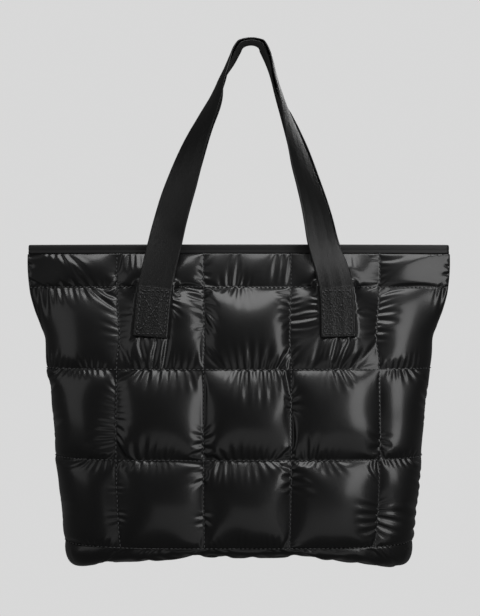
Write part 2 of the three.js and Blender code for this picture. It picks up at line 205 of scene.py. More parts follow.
@dataclass(frozen=True)
class Shell:
    """The bag's body as a lofted shell, measured down from the middle of its rim."""

    half_width: float = 237.5 * MM
    drop: float = 338 * MM
    corner_droop: float = 28 * MM
    base_depth: float = 122 * MM
    corner_inset_x: float = 27 * MM
    corner_inset_y: float = 11 * MM
    seam_wall: float = 3 * MM
    mouth_gap: float = 18 * MM
    tape_height: float = 10 * MM
    tape_thickness: float = 5.6 * MM
    samples: int = 720
    sections: tuple[Row, ...] = field(default_factory=lambda: tuple(rows(
        "drop width depth flat round wing",
        (0.0, 1.0, 0.0, 2.2, 1.0, 1.0),
        (0.08, 1.001, 0.12, 2.3, 1.0, 1.0),
        (0.16, 0.99, 0.28, 2.4, 1.05, 0.9),
        (0.22, 0.967, 0.42, 2.6, 1.2, 0.7),
        (0.275, 0.938, 0.54, 2.9, 1.45, 0.4),
        (0.31, 0.919, 0.6, 3.1, 1.65, 0.15),
        (0.38, 0.914, 0.72, 3.3, 1.9, 0.0),
        (0.47, 0.893, 0.83, 3.5, 2.1, 0.0),
        (0.6, 0.877, 0.92, 3.7, 2.2, 0.0),
        (0.75, 0.858, 0.98, 3.8, 2.3, 0.0),
        (0.9, 0.837, 1.0, 3.9, 2.3, 0.0),
        (1.0, 0.816, 1.0, 3.9, 2.3, 0.0),
    )))

    @property
    def rim(self) -> Vector:
        """Middle of the mouth's rim in the model's frame, read from the binding."""
        low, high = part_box("top_binding")
        return Vector(((low.x + high.x) / 2, 0, high.z))

    @property
    def lip(self) -> float:
        """Distance from the tape's middle to the panel's outer face at a flat wing."""
        return self.tape_thickness / 2 + self.seam_wall / 2

    @property
    def mouth_half_depth(self) -> float:
        """Half depth of the shell at the middle of its mouth."""
        return self.mouth_gap / 2 + self.lip

    def outline(self, drop: float, shares: np.ndarray) -> np.ndarray:
        """Points of one panel's outline at a level.

        Args:
            drop: the level, in metres below the rim.
            shares: shares of the cloth's width from the left side seam.

        Returns:
            Two columns: x from the middle, and depth from the middle plane.
        """
        level = {
            name: along(self.sections, "drop", drop / self.drop, name)
            for name in ("width", "depth", "flat", "round", "wing")
        }
        half_width = level["width"] * self.half_width
        span = self.base_depth / 2 - self.mouth_half_depth
        half_depth = self.mouth_half_depth + level["depth"] * span
        lip = CLEARANCE / 2 + level["wing"] * self.lip
        side = np.sin(np.pi * (np.linspace(0, 1, self.samples + 1) - 0.5))
        swell = np.maximum(0, 1 - np.abs(side) ** level["flat"]) ** (1 / level["round"])
        x = side * half_width
        depth = lip + (half_depth - lip) * swell
        lengths = np.concatenate([[0], np.cumsum(np.hypot(np.diff(x), np.diff(depth)))])
        target = np.clip(shares, 0, 1) * lengths[-1]
        return np.stack([np.interp(target, lengths, x), np.interp(target, lengths, depth)], -1)

    def to_frame(self, points: np.ndarray) -> np.ndarray:
        """Moves points from the rim's middle to the model's frame."""
        return points + np.array(self.rim)


@dataclass(frozen=True)
class Quilting:
    """Seam lines: columns as shares of the cloth's width, rows as shares of the drop."""

    columns: tuple[float, ...] = (0, 0.214, 0.418, 0.622, 0.831, 1)
    rows: tuple[float, ...] = (0.1416, 0.4086, 0.697, 0.976)
    puff_out: float = 13 * MM
    puff_in: float = 4 * MM
    base_puff: float = 4 * MM
    flank_swell: float = 0.2
    flank_share: float = 0.17
    top_row_swell: float = 0.45
    base_corner_share: float = 0.075


@dataclass(frozen=True)
class SewnEnd:
    """Where one end of a handle is sewn to a panel."""

    top: float
    foot: float
    x: float
    inset: float
    standoff: float
    slope: float

    def x_at(self, drop: np.ndarray | float) -> np.ndarray | float:
        """Middle of the webbing at a level, from the rim's middle."""
        return self.x + self.inset * (self.foot - drop) / (self.foot - self.top)

    def depth_at(self, drop: np.ndarray | float) -> np.ndarray | float:
        """Depth of the panel's face under the webbing at a level."""
        return self.standoff + self.slope * (drop - self.top) / (self.foot - self.top)


@dataclass
class Handle:
    """One webbing handle with both of its sewn ends."""

    facing: Facing
    shell: Shell
    width: float = 38 * MM
    thickness: float = 1.8 * MM
    sewn_thickness: float = 3.6 * MM
    sewn_length: float = 55 * MM
    sewn_drop: float = 48 * MM
    standoff: float = 36 * MM
    slope: float = 9 * MM
    sink: float = 1 * MM
    spacing: float = 205 * MM
    shift: float = 6 * MM
    rise: float = 234 * MM
    crown_x: float = 14 * MM
    crown_tilt: float = 0.09
    crown_tuck: float = 0.067
    crown_cup: float = 0.05
    back_spread: float = 0.145
    inset_left: float = 0.045
    inset_right: float = 0.02
    steps: int = 36
    across_points: int = 26
    stitch_inset: float = 4 * MM
    stitch_bed: float = 0.2 * MM
    heading_reach: float = 0.05
    end_places: tuple[float, ...] = (0, 0.003, 0.01, 0.02)
    least_round: float = 0.02
    left: tuple[Row, ...] = field(default_factory=lambda: tuple(rows(
        "out up twist fore back_twist aft tuck",
        (0.857, 0.02, 7, 0.78, 172, 0.78, -0.095),
        (0.812, 0.115, 14, 0.695, 165, 0.695, -0.084),
        (0.76, 0.21, 19, 0.625, 159, 0.625, -0.068),
        (0.696, 0.307, 26, 0.57, 150, 0.57, -0.053),
        (0.631, 0.404, 36, 0.53, 140, 0.53, -0.045),
        (0.556, 0.501, 46, 0.52, 127, 0.53, -0.02),
        (0.468, 0.599, 57, 0.52, 113, 0.55, 0.0),
        (0.38, 0.697, 68, 0.51, 100, 0.52, 0.05),
        (0.313, 0.796, 80, 0.4, 84, 0.2, 0.052),
        (0.223, 0.893, 95, 0.14, 95, 0.04, 0.06),
        (0.15, 0.961, 96, 0.03, 96, 0.0, 0.073),
        (0.094, 0.986, 93, 0.01, 93, 0.0, 0.068),
    )))
    right: tuple[Row, ...] = field(default_factory=lambda: tuple(rows(
        "out up twist fore back_twist aft tuck",
        (0.828, 0.02, 26, 0.78, 157, 0.78, -0.13),
        (0.78, 0.115, 33, 0.695, 149, 0.695, -0.125),
        (0.724, 0.21, 40, 0.625, 141, 0.625, -0.12),
        (0.656, 0.307, 47, 0.57, 134, 0.57, -0.115),
        (0.585, 0.404, 53, 0.53, 128, 0.54, -0.11),
        (0.52, 0.501, 62, 0.52, 118, 0.55, -0.1),
        (0.448, 0.599, 72, 0.53, 109, 0.57, -0.07),
        (0.375, 0.697, 82, 0.53, 98, 0.57, -0.01),
        (0.302, 0.796, 89, 0.4, 90, 0.24, 0.052),
        (0.238, 0.893, 96, 0.14, 96, 0.04, 0.06),
        (0.166, 0.961, 97, 0.03, 97, 0.0, 0.073),
        (0.105, 0.986, 93, 0.01, 93, 0.0, 0.068),
    )))

    def end(self, side: int, facing: Facing | None = None) -> SewnEnd:
        """The sewn end on one side.

        Args:
            side: -1 for the left end and 1 for the right one.
            facing: the panel, or this handle's own when left out.

        Returns:
            Where that end lies.
        """
        back = (facing or self.facing) is Facing.BACK
        spread = self.back_spread * self.width if back else 0
        x = self.shift + side * (self.spacing / 2 + spread)
        inset = (self.inset_left if side < 0 else self.inset_right) * (self.crown_x - x)
        foot = self.sewn_drop + self.sewn_length
        return SewnEnd(self.sewn_drop, foot, x, inset, self.standoff, self.slope)

    def stations(self) -> list[Row]:
        """Places the webbing's stations from the left foot over the crown to the right foot.

        Returns:
            The stations as a table whose column at is the way from the left foot.
        """
        back = self.facing is Facing.BACK
        sign = self.facing.value

        def branch(side: int, table: Table) -> list[Row]:
            """Places the stations of one branch.

            Args:
                side: -1 for the left branch and 1 for the right one.
                table: the branch's free stations.

            Returns:
                The stations from the foot up.
            """
            end, front = self.end(side), self.end(side, Facing.FRONT)
            reach = abs(self.crown_x - front.x_at(front.foot))
            sewn = [
                {"x": end.x_at(drop), "z": -drop, "twist": 180 if back else 0, "cup": 0,
                 "y": sign * (end.depth_at(drop) - self.sink + self.sewn_thickness / 2),
                 "thick": self.sewn_thickness, "tuck": 0}
                for drop in (end.foot, end.top)
            ]
            standoff = end.depth_at(end.top) - self.sink + self.thickness / 2
            free = [
                {"x": self.crown_x + side * row["out"] * reach,
                 "y": sign * standoff * (row["aft"] if back else row["fore"]),
                 "z": row["up"] * self.rise,
                 "twist": row["back_twist"] if back else row["twist"],
                 "cup": self.crown_cup * self.width * math.sin(math.radians(row["twist"])) ** 2,
                 "thick": self.thickness, "tuck": row["tuck"] * self.width if back else 0}
                for row in table
            ]
            return sewn + free

        crown = {
            "x": self.crown_x, "y": 0, "z": self.rise - self.thickness / 2, "twist": 90,
            "cup": self.crown_cup * self.width, "thick": self.thickness,
            "tuck": self.crown_tuck * self.width if back else 0,
        }
        right = [{**s, "twist": 180 - s["twist"]} for s in branch(1, self.right)]
        every = [*branch(-1, self.left), crown, *reversed(right)]
        spots = [Vector((station["x"], station["y"], station["z"])) for station in every]
        steps = [(b - a).length / self.sewn_length for a, b in zip(spots[:-1], spots[1:])]
        return [{**station, "at": sum(steps[:i])} for i, station in enumerate(every)]

    def frame_at(self, table: Table, place: float) -> tuple[Vector, Vector, Vector, float, float]:
        """Reads how the webbing lies at a place.

        Args:
            table: the stations.
            place: the way from the left foot, in sewn lengths.

        Returns:
            The webbing's middle, its across and outward directions, its cup and its thickness.
        """
        def value(column: str, at: float = place) -> float:
            """A column at a place."""
            return along(table, "at", at, column, even=False)

        def middle(at: float) -> Vector:
            """The middle line at a place."""
            return Vector((value("x", at), value("y", at), value("z", at)))

        last = table[-1]["at"]
        reach = self.heading_reach
        heading = middle(min(place + reach, last)) - middle(max(place - reach, 0))
        heading.normalize()
        twist = math.radians(value("twist"))
        across = Vector((math.cos(twist), -math.sin(twist), -self.crown_tilt * math.sin(twist)))
        across = (across - heading * across.dot(heading)).normalized()
        outward = across.cross(heading).normalized()
        inward = Vector((heading.z, 0, -heading.x)).normalized()
        at = middle(place) + inward * value("tuck")
        return at, across, outward, value("cup"), value("thick")

    def profile(self) -> list[tuple[float, float]]:
        """Draws the webbing's section, with two low ribs and a rolled selvedge.

        Returns:
            Points round the section: shares of the half width and of the half thickness.
        """
        count = self.across_points
        squareness = 40
        rib_at, rib_width, rib_height = 0.36, 0.1, 0.16
        roll_at, roll_width, roll_height = 0.93, 0.05, 0.14
        top = []
        for i in range(count):
            share = math.sin(math.pi / 2 * (2 * (i + 0.5) / count - 1))
            edge = (1 - abs(share) ** squareness) ** 0.5
            ribs = rib_height * math.exp(-(((abs(share) - rib_at) / rib_width) ** 2))
            roll = roll_height * math.exp(-(((abs(share) - roll_at) / roll_width) ** 2))
            top.append((share, edge * (1 - rib_height + ribs + roll)))
        return top + [(share, -height) for share, height in reversed(top)]

    def sewn_runs(self) -> list["Run"]:
        """Lays out the stitches that hold both ends: a box and its two diagonals each.

        Returns:
            One straight run for each line of stitches.
        """
        aside = self.width / 2 - self.stitch_inset
        out = self.sewn_thickness - self.sink - self.stitch_bed
        normal = Vector((0, self.facing.value, 0))
        runs = []
        for end in (self.end(-1), self.end(1)):
            low, high = end.foot - self.stitch_inset, end.top + self.stitch_inset
            corners = []
            for side, drop in ((-1, low), (1, low), (1, high), (-1, high)):
                y = self.facing.value * (end.depth_at(drop) + out)
                corners.append(Vector((end.x_at(drop) + side * aside, y, -drop)))
            for one, other in ((0, 1), (1, 2), (2, 3), (3, 0), (0, 2), (1, 3)):
                runs.append([(corners[one], normal), (corners[other], normal)])
        return runs

    def build(self, finish: "Finish") -> bpy.types.Object:
        """Sweeps the webbing and dresses it.

        Args:
            finish: the webbing's finish.

        Returns:
            The handle's object.
        """
        table = self.stations()
        last = table[-1]["at"]
        inner = np.linspace(0, last, round(last * self.steps) + 1)[1:-1]
        ends = np.array(self.end_places)
        places = np.concatenate([ends, inner, last - ends[::-1]])
        section = self.profile()
        points = np.zeros((len(places), len(section), 3))
        uv = np.zeros((len(places), len(section), 2))
        run, previous = 0.0, None
        for i, place in enumerate(places):
            at, across, outward, cup, thick = self.frame_at(table, float(place))
            run += (at - previous).length if previous is not None else 0
            previous = at
            from_end = min(place, last - place) * self.sewn_length
            fold = min(from_end / (self.sewn_thickness / 2), 1)
            round_off = math.sqrt(max(1 - (1 - fold) ** 2, self.least_round))
            for j, (share, height) in enumerate(section):
                lift = height * thick / 2 * round_off - cup * share * share
                spot = at + across * (share * self.width / 2) + outward * lift
                points[i, j] = spot
                uv[i, j] = (share * self.width / 2, run)
        uv[..., 1] = np.minimum(uv[..., 1], run - uv[..., 1])
        name = f"{self.facing.name.lower()}_webbing_handle"
        piece = ring_sweep(name, self.shell.to_frame(points), uv, closed_along=False)
        finish.dress(piece)
        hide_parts(f"{self.facing.name.lower()}_handle")
        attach(piece, "root")
        return piece


def link(bm: bmesh.types.BMesh, name: str) -> bpy.types.Object:
    """Makes a smooth-shaded object of a bmesh and frees the bmesh.

    Args:
        bm: the bmesh.
        name: the object's name.

    Returns:
        The object, linked to the scene.
    """
    for face in bm.faces:
        face.smooth = True
    mesh = bpy.data.meshes.new(name)
    bm.to_mesh(mesh)
    bm.free()
    piece = bpy.data.objects.new(name, mesh)
    bpy.context.scene.collection.objects.link(piece)
    return piece


def grid_bmesh(points: np.ndarray, uv: np.ndarray) -> bmesh.types.BMesh:
    """A grid of quads moved onto an array of points.

    Args:
        points: rows and columns of points.
        uv: a UV pair for each point, in metres.

    Returns:
        A bmesh whose vertices run row by row.
    """
    height, width = points.shape[:2]
    bm = bmesh.new()
    bmesh.ops.create_grid(bm, x_segments=width - 1, y_segments=height - 1, size=1)
    bm.verts.ensure_lookup_table()
    layer = bm.loops.layers.uv.new("UVMap")
    flat, flat_uv = points.reshape(-1, 3), uv.reshape(-1, 2)
    for vert, spot in zip(bm.verts, flat):
        vert.co = spot
    for face in bm.faces:
        for loop in face.loops:
            loop[layer].uv = flat_uv[loop.vert.index]
    return bm


def apply_modifier(piece: bpy.types.Object, kind: str, **settings: object) -> None:
    """Puts one modifier on a piece and keeps the mesh that it makes.

    Args:
        piece: the object.
        kind: the modifier's type.
        settings: the modifier's own settings.
    """
    modifier = piece.modifiers.new(kind.lower(), kind)
    for key, value in settings.items():
        setattr(modifier, key, value)
    graph = bpy.context.evaluated_depsgraph_get()
    made = bpy.data.meshes.new_from_object(piece.evaluated_get(graph), depsgraph=graph)
    piece.modifiers.remove(modifier)
    piece.data = made


def close_with(piece: bpy.types.Object, inner: np.ndarray) -> None:
    """Closes an open sheet with a second one behind it, joined round their edges.

    Args:
        piece: the open sheet.
        inner: rows of points of the second sheet, in the model's frame, turned to face away.
    """
    sheet = grid_bmesh(inner, inner[..., [0, 2]])
    mesh = bpy.data.meshes.new("inner_sheet")
    sheet.to_mesh(mesh)
    sheet.free()
    bm = bmesh.new()
    bm.from_mesh(piece.data)
    bm.from_mesh(mesh)
    bpy.data.meshes.remove(mesh)
    bmesh.ops.bridge_loops(bm, edges=[edge for edge in bm.edges if edge.is_boundary])
    bmesh.ops.recalc_face_normals(bm, faces=bm.faces)
    for face in bm.faces:
        face.smooth = True
    bm.to_mesh(piece.data)
    bm.free()


Run = list[tuple[Vector, Vector]]


def seam_runs(points: np.ndarray, normal: np.ndarray, bare: np.ndarray,
              column_steps: Sequence[int], row_steps: Sequence[int]) -> list[Run]:
    """The inner seams' lines on a quilted sheet as it looks once it is subdivided.

    Args:
        points: the sheet's coarse points, as rows of points.
        normal: the sheet's outward normals.
        bare: where nothing lies on the sheet.
        column_steps: the grid's steps between the seams that run up.
        row_steps: the grid's steps between the seams that run across, from the foot.

    Returns:
        One list of points with normals for each stretch of a seam.
    """
    smooth = points.copy()
    beside = points[1:-1, 2:] + points[1:-1, :-2] + points[2:, 1:-1] + points[:-2, 1:-1]
    corner = points[2:, 2:] + points[2:, :-2] + points[:-2, 2:] + points[:-2, :-2]
    smooth[1:-1, 1:-1] = points[1:-1, 1:-1] * 9 / 16 + beside * 3 / 32 + corner / 64
    whole = slice(None)
    places = [(whole, k) for k in np.cumsum(column_steps)[:-1]]
    places += [(k, whole) for k in (0, *np.cumsum(row_steps)[:-1])]
    runs: list[Run] = []
    for place in places:
        run: Run = []
        for spot, up, free in zip(smooth[place], normal[place], bare[place]):
            if free:
                run.append((Vector(spot), Vector(up)))
            elif run:
                runs.append(run)
                run = []
        runs.append(run)
    return [run for run in runs if len(run) > 2]


@dataclass
class Stitching:
    """Rows of stitches, each one a small bead of thread."""

    name: str
    pitch: float = 4.8 * MM
    length: float = 3.4 * MM
    width: float = 1.1 * MM
    lift: float = 0.6 * MM
    sides: int = 6
    rings: int = 4
    slot: str = "nylon"

    def places(self, runs: list[Run]) -> tuple[np.ndarray, np.ndarray]:
        """Each stitch's middle and its three half axes.

        Args:
            runs: lines of points with normals.

        Returns:
            The middles, and for each one three rows: along, aside and up.
        """
        middles, axes = [], []
        for run in runs:
            gone, due = 0.0, self.pitch / 2
            for (one, normal), (other, _) in zip(run[:-1], run[1:]):
                step = (other - one).length
                while due <= gone + step:
                    heading = (other - one).normalized()
                    side = normal.cross(heading).normalized()
                    up = heading.cross(side)
                    middles.append(one.lerp(other, (due - gone) / step) + up * self.lift)
                    axes.append((heading * self.length / 2, side * self.width / 2,
                                 up * self.width / 2))
                    due += self.pitch
                gone += step
        return np.array(middles), np.array(axes)

    def bead(self) -> bmesh.types.BMesh:
        """Makes a ball with few faces, which come in the same order in every run.

        Returns:
            The ball, with a radius of 1.
        """
        bm = bmesh.new()
        bmesh.ops.create_grid(bm, x_segments=self.sides, y_segments=self.rings, size=1)
        for i, vert in enumerate(bm.verts):
            ring, side = divmod(i, self.sides + 1)
            polar, turn = math.pi * ring / self.rings, 2 * math.pi * side / self.sides
            flat = math.sin(polar)
            vert.co = (flat * math.sin(turn), flat * math.cos(turn), -math.cos(polar))
        bmesh.ops.remove_doubles(bm, verts=bm.verts, dist=MERGE_DISTANCE)
        bmesh.ops.recalc_face_normals(bm, faces=bm.faces)
        return bm

    def build(self, runs: list[Run], finish: "Finish", shell: Shell) -> bpy.types.Object:
        """Sews along every run.

        Args:
            runs: lines of points with normals, from the rim's middle.
            finish: the thread's finish.
            shell: the bag's body, which knows where the rim is.

        Returns:
            The stitches as one object.
        """
        bm = self.bead()
        bead = np.array([vert.co for vert in bm.verts])
        piece = link(bm, self.name)
        middles, axes = self.places(runs)
        apply_modifier(piece, "ARRAY", count=len(middles), use_relative_offset=False)
        spots = shell.to_frame(middles)[:, None] + bead @ axes
        piece.data.vertices.foreach_set("co", spots.ravel())
        piece.data.update()
        finish.dress(piece)
        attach(piece, "root")
        return piece


def ring_sweep(
    name: str, points: np.ndarray, uv: np.ndarray, closed_along: bool
) -> bpy.types.Object:
    """A closed tube through rings of points.

    Args:
        name: the object's name.
        points: one row of points for each ring, without the closing point.
        uv: a UV pair for each point.
        closed_along: whether the last ring meets the first one.

    Returns:
        The tube's object.
    """
    closed = np.concatenate([points, points[:, :1]], axis=1)
    closed_uv = np.concatenate([uv, uv[:, :1]], axis=1)
    if closed_along:
        closed = np.concatenate([closed, closed[:1]])
        closed_uv = np.concatenate([closed_uv, closed_uv[:1]])
    bm = grid_bmesh(closed, closed_uv)
    bmesh.ops.remove_doubles(bm, verts=bm.verts, dist=MERGE_DISTANCE)
    if not closed_along:
        rim = [edge for edge in bm.edges if edge.is_boundary]
        bmesh.ops.holes_fill(bm, edges=rim)
    bmesh.ops.recalc_face_normals(bm, faces=bm.faces)
    return link(bm, name)


Pair = tuple[tuple[slice, slice], tuple[slice, slice]]


@dataclass(frozen=True)
class Fabric:
    """A cloth simulation for a grid of points that is held at its seams and swollen from inside.

    Springs join each point to its neighbours, across each cell of the grid, and to the points
    two steps away, which resist bending. Their lengths come from the cloth as it was cut, so
    fabric to spare gathers into puckers where a seam holds it.
    """

    steps: int = 120
    passes: int = 5
    push: float = 0.006 * MM
    damping: float = 0.92
    diagonal: float = 0.3
    bending: float = 0.3
    warp: float = 2.5 * MM
    warp_size: float = 60 * MM

    def pairs(self, shape: tuple[int, int]) -> list[tuple[Pair, float]]:
        """Sets of springs that share no point.

        Args:
            shape: the grid's rows and columns.

        Returns:
            For each set, both ends' places in the grid and the springs' stiffness.
        """
        height, width = shape
        whole = slice(None)
        found: list[tuple[Pair, float]] = []
        for k in (0, 1):
            across = ((whole, slice(k, width - 1, 2)), (whole, slice(k + 1, width, 2)))
            up = ((slice(k, height - 1, 2), whole), (slice(k + 1, height, 2), whole))
            found += [(across, 1.0), (up, 1.0)]
        for k in (0, 1):
            low, high = slice(k, height - 1, 2), slice(k + 1, height, 2)
            left, right = slice(0, width - 1), slice(1, width)
            found += [(((low, left), (high, right)), self.diagonal),
                      (((low, right), (high, left)), self.diagonal)]
        for k in range(4):
            across = ((whole, slice(k, width - 2, 4)), (whole, slice(k + 2, width, 4)))
            up = ((slice(k, height - 2, 4), whole), (slice(k + 2, height, 4), whole))
            found += [(across, self.bending), (up, self.bending)]
        return found

    def cut(self, sheet: np.ndarray, spare: Sequence[float], seed: float) -> np.ndarray:
        """The cloth as it was cut: as long as the sheet is, with fabric to spare.

        Args:
            sheet: the sheet through the seams, as rows of points.
            spare: the shares that are added along X, Y and Z.
            seed: the place in the noise that shifts the cloth unevenly between the seams.

        Returns:
            A place for each point, good for the distances to its neighbours alone.
        """
        shift = np.stack([fractal(sheet, self.warp_size, seed + 7 * k) for k in range(3)], -1)
        return sheet * (1 + np.asarray(spare)) + shift * self.warp

    def settle(self, start: np.ndarray, cut: np.ndarray, held: np.ndarray,
               slack: np.ndarray) -> np.ndarray:
        """Swells the cloth until it is taut.

        Args:
            start: the starting place of each point, as rows of points.
            cut: the place of each point in the cloth as it was cut.
            held: whether a seam holds each point.
            slack: the share of length that the cloth has to spare at each point, over its cut.

        Returns:
            The settled points.
        """
        points, before = start.copy(), start.copy()
        free = (~held).astype(float)[..., None]
        springs = []
        for (one, other), stiffness in self.pairs(held.shape):
            rows_met = min(points[one].shape[0], points[other].shape[0])
            columns_met = min(points[one].shape[1], points[other].shape[1])
            met = (slice(rows_met), slice(columns_met))
            rest = np.linalg.norm(cut[other][met] - cut[one][met], axis=-1, keepdims=True)
            rest *= 1 + (slack[one][met] + slack[other][met])[..., None] / 2
            free_one, free_other = free[one][met], free[other][met]
            share = stiffness / np.maximum(free_one + free_other, 1)
            springs.append((one, other, met, rest, free_one * share, free_other * share))
        for _ in range(self.steps):
            drift = (points - before) * self.damping
            before = points.copy()
            points += (drift + normals_of(points) * self.push) * free
            for _ in range(self.passes):
                for one, other, met, rest, move_one, move_other in springs:
                    near, far = points[one][met], points[other][met]
                    gap = far - near
                    length = np.sqrt((gap * gap).sum(-1, keepdims=True))
                    gap *= (length - rest) / np.maximum(length, TINY)
                    near += gap * move_one
                    far -= gap * move_other
        return points


@dataclass
class QuiltedPanel:
    """The front or back panel: a padded sheet with a grid of seams."""

    facing: Facing
    shell: Shell
    quilting: Quilting
    ends: tuple[SewnEnd, SewnEnd]
    strap_width: float
    fabric: Fabric = Fabric()
    column_steps: tuple[int, ...] = (66, 63, 63, 64, 53)
    row_steps: tuple[int, ...] = (22, 57, 60, 60)
    press_from: float = 2 * MM
    press_fade: float = 9 * MM
    held_press: float = 0.97
    bare_press: float = 0.5
    start_swell: float = 0.7
    spare_across: tuple[float, ...] = (0.012, 0.022, 0.045, 0.038, 0.015)
    spare_down: float = 0.02
    side_slack: float = 4 * MM
    bulge_slack: float = 0.07
    bulge_beside: tuple[float, float] = (-3 * MM, 6 * MM)
    bulge_start: tuple[float, float] = (0, 4 * MM)
    bulge_stop: tuple[float, float] = (18 * MM, 28 * MM)
    slack_from: float = 0.5
    seed: float = 3.0
    proud: float = 5 * MM
    sewn_sink: float = 1.2 * MM
    lining_step: int = 8
    seam_runs: list[Run] = field(default_factory=list)

    def lines(self) -> tuple[np.ndarray, np.ndarray]:
        """Places the grid's lines so that one lies on each seam.

        Returns:
            The columns' shares across, and the rows' drops from the foot to the top.
        """
        top = self.shell.tape_height + CLEARANCE
        drops = [top, *(share * self.shell.drop for share in self.quilting.rows)]
        down = grid_lines(drops, self.row_steps)
        return grid_lines(self.quilting.columns, self.column_steps), down[::-1]

    def neutral(self, shares: np.ndarray, drops: np.ndarray) -> np.ndarray:
        """Lays the sheet through the seams.

        Args:
            shares: shares of the cloth's width, one for each column.
            drops: levels below the rim, one for each row.

        Returns:
            Rows of points from the rim's middle.
        """
        order = shares if self.facing is Facing.FRONT else shares[::-1]
        points = np.zeros((len(drops), len(order), 3))
        for i, drop in enumerate(drops):
            outline = self.shell.outline(float(drop), order)
            points[i, :, 0] = outline[:, 0]
            points[i, :, 1] = self.facing.value * outline[:, 1]
            points[i, :, 2] = -drop
        return points

    def pressed(self, points: np.ndarray) -> list[np.ndarray]:
        """How strongly each sewn end presses on the sheet.

        Args:
            points: rows of points.

        Returns:
            For each end, one value from 0 to 1 for each point.
        """
        fields = []
        for end in self.ends:
            drop = -points[..., 2]
            beside = np.abs(points[..., 0] - end.x_at(drop)) - self.strap_width / 2
            beyond = np.maximum(end.top - drop, drop - end.foot)
            away = np.hypot(np.maximum(beside, 0), np.maximum(beyond, 0))
            fields.append(1 - smoothstep(self.press_from, self.press_fade, away))
        return fields

    def slack_below(self, points: np.ndarray) -> np.ndarray:
        """Finds the loose cloth that bulges out just below each sewn end.

        Args:
            points: rows of points.

        Returns:
            The share of length to spare at each point.
        """
        slack = np.zeros(points.shape[:2])
        for end in self.ends:
            drop = -points[..., 2]
            beside = np.abs(points[..., 0] - end.x_at(drop)) - self.strap_width / 2
            below = drop - end.foot
            near = 1 - smoothstep(*self.bulge_beside, beside)
            band = smoothstep(*self.bulge_start, below) * (1 - smoothstep(*self.bulge_stop, below))
            slack += self.bulge_slack * near * band
        return slack

    def seams_held(self, shares: np.ndarray, drops: np.ndarray) -> np.ndarray:
        """Marks the grid's points that lie on a seam or on the sheet's edge.

        Args:
            shares: shares of the cloth's width, one for each column.
            drops: levels below the rim, one for each row.

        Returns:
            Whether each point is held.
        """
        held = np.zeros((len(drops), len(shares)), bool)
        held[:, np.cumsum([0, *self.column_steps])] = True
        held[len(drops) - 1 - np.cumsum([0, *self.row_steps])] = True
        return held

    def capped(self, settled: np.ndarray, outer: np.ndarray, topmost: np.ndarray) -> np.ndarray:
        """Keeps the swollen cloth near the space that the panel has.

        Args:
            settled: the simulated points.
            outer: the outer face of the panel's solid.
            topmost: how full each row of points is, less than 1 in the flat top row.

        Returns:
            The points, drawn in where they stood too proud.
        """
        outward = normals_of(outer)
        proud = ((settled - outer) * outward).sum(-1)
        most = self.proud * topmost ** 2
        allowed = np.where(proud > 0, most * np.tanh(proud / most), proud)
        return settled + outward * (allowed - proud)[..., None]

    def line(self, piece: bpy.types.Object, neutral: np.ndarray, normal: np.ndarray,
             swell: np.ndarray) -> None:
        """Closes the panel with its lining, a smooth sheet inside the padding.

        Args:
            piece: the panel, still an open sheet.
            neutral: the sheet through the seams.
            normal: that sheet's outward normals.
            swell: how far each point is from a seam, from 0 to 1.
        """
        wall = self.shell.seam_wall + self.quilting.puff_in * swell
        inner = neutral - normal * wall[..., None]
        inner[..., 1] = self.facing.value * np.maximum(self.facing.value * inner[..., 1],
                                                       CLEARANCE / 2)
        top = -self.shell.tape_height - CLEARANCE
        foot = -self.quilting.rows[-1] * self.shell.drop
        inner[..., 2] = np.clip(inner[..., 2], foot + CLEARANCE / 2, top)
        inner[0, :, 2], inner[-1, :, 2] = foot + CLEARANCE / 2, top
        pick_rows = np.unique(np.append(np.arange(0, len(inner), self.lining_step), len(inner) - 1))
        last = inner.shape[1] - 1
        pick_columns = np.unique(np.append(np.arange(0, last + 1, self.lining_step), last))
        close_with(piece, self.shell.to_frame(inner[np.ix_(pick_rows, pick_columns)])[:, ::-1])

    def simulated(self, points: np.ndarray, start: np.ndarray, held: np.ndarray,
                  drops: np.ndarray, row_seams: Sequence[float]) -> np.ndarray:
        """Cuts the cloth with some to spare and lets it settle.

        Args:
            points: the sheet through the seams.
            start: where each point starts.
            held: whether each point is sewn or pressed down.
            drops: the rows' levels below the rim.
            row_seams: the levels of the seams that run across, from the top.

        Returns:
            The settled points.
        """
        spare = np.full(points.shape, self.spare_down)
        spare[..., :2] = np.interp(drops, row_seams, self.spare_across)[:, None, None]
        cut = self.fabric.cut(points, spare, self.seed)
        hat = np.interp(-points[..., 2], row_seams[:3], (0, 1, 0))
        aside = smoothstep(self.slack_from, 1, np.abs(points[..., 0]) / self.shell.half_width)
        cut[..., 2] -= self.side_slack * hat * aside
        return self.fabric.settle(start, cut, held, self.slack_below(points))

